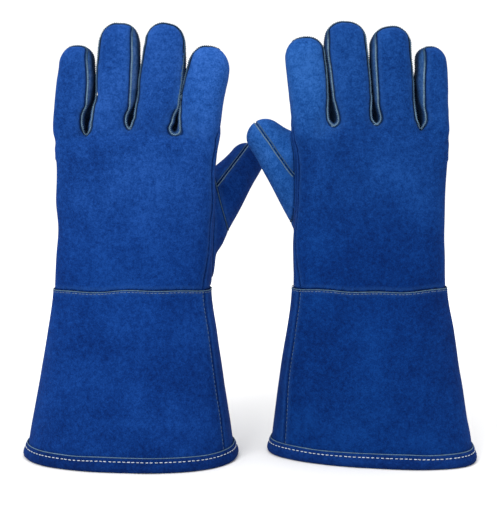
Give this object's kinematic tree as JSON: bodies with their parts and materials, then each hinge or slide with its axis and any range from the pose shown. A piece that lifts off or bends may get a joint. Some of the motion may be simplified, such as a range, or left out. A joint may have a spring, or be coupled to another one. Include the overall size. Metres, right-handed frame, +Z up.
{
  "type": "welding gloves",
  "caption": "Pair of blue split-leather welding gauntlets with flared cuffs, standing upright on their open hems, fingers up and thumbs inwards.",
  "frame": {"origin": "on the floor, under the middle of the pair's bounding box", "axes": "+Z up along the fingers, -Y out of the backs of the hands, +Y out of the palms, the left glove at -X"},
  "size_m": [0.3666, 0.1317, 0.3533],
  "materials": {
    "leather": "brushed split suede",
    "fourchette_leather": "brushed split suede, paler",
    "binding": "rolled split leather",
    "welt": "folded leather piping",
    "lining": "brushed cotton fleece",
    "thread": "white twisted sewing thread"
  },
  "bodies": {
    "left_cuff_body": {"left_cuff_back_panel": "leather", "left_cuff_palm_panel": "leather", "left_cuff_side_welt": "welt", "left_cuff_lining": "lining", "left_wrist_welt": "welt", "left_hem_binding": "binding"},
    "left_hand_body": {"left_back_panel": "leather", "left_palm_panel": "leather", "left_fourchettes": "fourchette_leather", "left_thumb_wing": "leather", "left_hand_lining": "lining"},
    "left_thumb_body": {"left_thumb_outer": "leather", "left_thumb_inner": "leather", "left_thumb_lining": "lining"},
    "left_index_body": {"left_index_back": "leather", "left_index_palm": "leather", "left_index_sides": "fourchette_leather", "left_index_lining": "lining"},
    "left_middle_body": {"left_middle_back": "leather", "left_middle_palm": "leather", "left_middle_sides": "fourchette_leather", "left_middle_lining": "lining"},
    "left_ring_body": {"left_ring_back": "leather", "left_ring_palm": "leather", "left_ring_sides": "fourchette_leather", "left_ring_lining": "lining"},
    "left_little_body": {"left_little_back": "leather", "left_little_palm": "leather", "left_little_sides": "fourchette_leather", "left_little_lining": "lining"},
    "right_cuff_body": {"right_cuff_back_panel": "leather", "right_cuff_palm_panel": "leather", "right_cuff_side_welt": "welt", "right_cuff_lining": "lining", "right_wrist_welt": "welt", "right_hem_binding": "binding"},
    "right_hand_body": {"right_back_panel": "leather", "right_palm_panel": "leather", "right_fourchettes": "fourchette_leather", "right_thumb_wing": "leather", "right_hand_lining": "lining"},
    "right_thumb_body": {"right_thumb_outer": "leather", "right_thumb_inner": "leather", "right_thumb_lining": "lining"},
    "right_index_body": {"right_index_back": "leather", "right_index_palm": "leather", "right_index_sides": "fourchette_leather", "right_index_lining": "lining"},
    "right_middle_body": {"right_middle_back": "leather", "right_middle_palm": "leather", "right_middle_sides": "fourchette_leather", "right_middle_lining": "lining"},
    "right_ring_body": {"right_ring_back": "leather", "right_ring_palm": "leather", "right_ring_sides": "fourchette_leather", "right_ring_lining": "lining"},
    "right_little_body": {"right_little_back": "leather", "right_little_palm": "leather", "right_little_sides": "fourchette_leather", "right_little_lining": "lining"}
  },
  "joints": [
    {"name": "left_wrist_bend", "type": "hinge", "parent": "left_cuff_body", "child": "left_hand_body", "pos_m": [-0.0956, -0.0143, 0.134], "axis": [-1, 0, 0], "range_deg": [-8, 20]},
    {"name": "left_index_bend", "type": "hinge", "parent": "left_hand_body", "child": "left_index_body", "pos_m": [-0.03838, -0.0143, 0.28975], "axis": [-0.9903, 0, 0.1392], "range_deg": [0, 60]},
    {"name": "left_middle_bend", "type": "hinge", "parent": "left_hand_body", "child": "left_middle_body", "pos_m": [-0.07483, -0.0143, 0.28981], "axis": [-0.9925, 0, 0.1219], "range_deg": [0, 60]},
    {"name": "left_ring_bend", "type": "hinge", "parent": "left_hand_body", "child": "left_ring_body", "pos_m": [-0.11088, -0.0143, 0.28986], "axis": [-0.9945, 0, 0.1045], "range_deg": [0, 60]},
    {"name": "left_little_bend", "type": "hinge", "parent": "left_hand_body", "child": "left_little_body", "pos_m": [-0.14386, -0.0143, 0.28992], "axis": [-0.9969, 0, 0.0785], "range_deg": [0, 60]},
    {"name": "left_thumb_bend", "type": "hinge", "parent": "left_hand_body", "child": "left_thumb_body", "pos_m": [-0.0196, 0.0287, 0.21075], "axis": [-0.5896, -0.4422, 0.6759], "range_deg": [0, 40]},
    {"name": "right_wrist_bend", "type": "hinge", "parent": "right_cuff_body", "child": "right_hand_body", "pos_m": [0.0984, -0.0143, 0.134], "axis": [-1, 0, 0], "range_deg": [-20, 8]},
    {"name": "right_index_bend", "type": "hinge", "parent": "right_hand_body", "child": "right_index_body", "pos_m": [0.04947, -0.0143, 0.28982], "axis": [-0.9932, 0, -0.1167], "range_deg": [0, 60]},
    {"name": "right_middle_bend", "type": "hinge", "parent": "right_hand_body", "child": "right_middle_body", "pos_m": [0.08374, -0.0143, 0.28989], "axis": [-0.9959, 0, -0.0906], "range_deg": [0, 60]},
    {"name": "right_ring_bend", "type": "hinge", "parent": "right_hand_body", "child": "right_ring_body", "pos_m": [0.11912, -0.0143, 0.28991], "axis": [-0.9965, 0, -0.0837], "range_deg": [0, 60]},
    {"name": "right_little_bend", "type": "hinge", "parent": "right_hand_body", "child": "right_little_body", "pos_m": [0.14997, -0.0143, 0.28995], "axis": [-0.998, 0, -0.0628], "range_deg": [0, 60]},
    {"name": "right_thumb_bend", "type": "hinge", "parent": "right_hand_body", "child": "right_thumb_body", "pos_m": [0.03265, 0.0062, 0.2255], "axis": [-0.7293, 0.547, -0.4109], "range_deg": [0, 40]},
    {"name": "gloves_apart", "type": "slide", "parent": "left_cuff_body", "child": "right_cuff_body", "axis": [1, 0, 0], "range_m": [0, 0.25]}
  ]
}
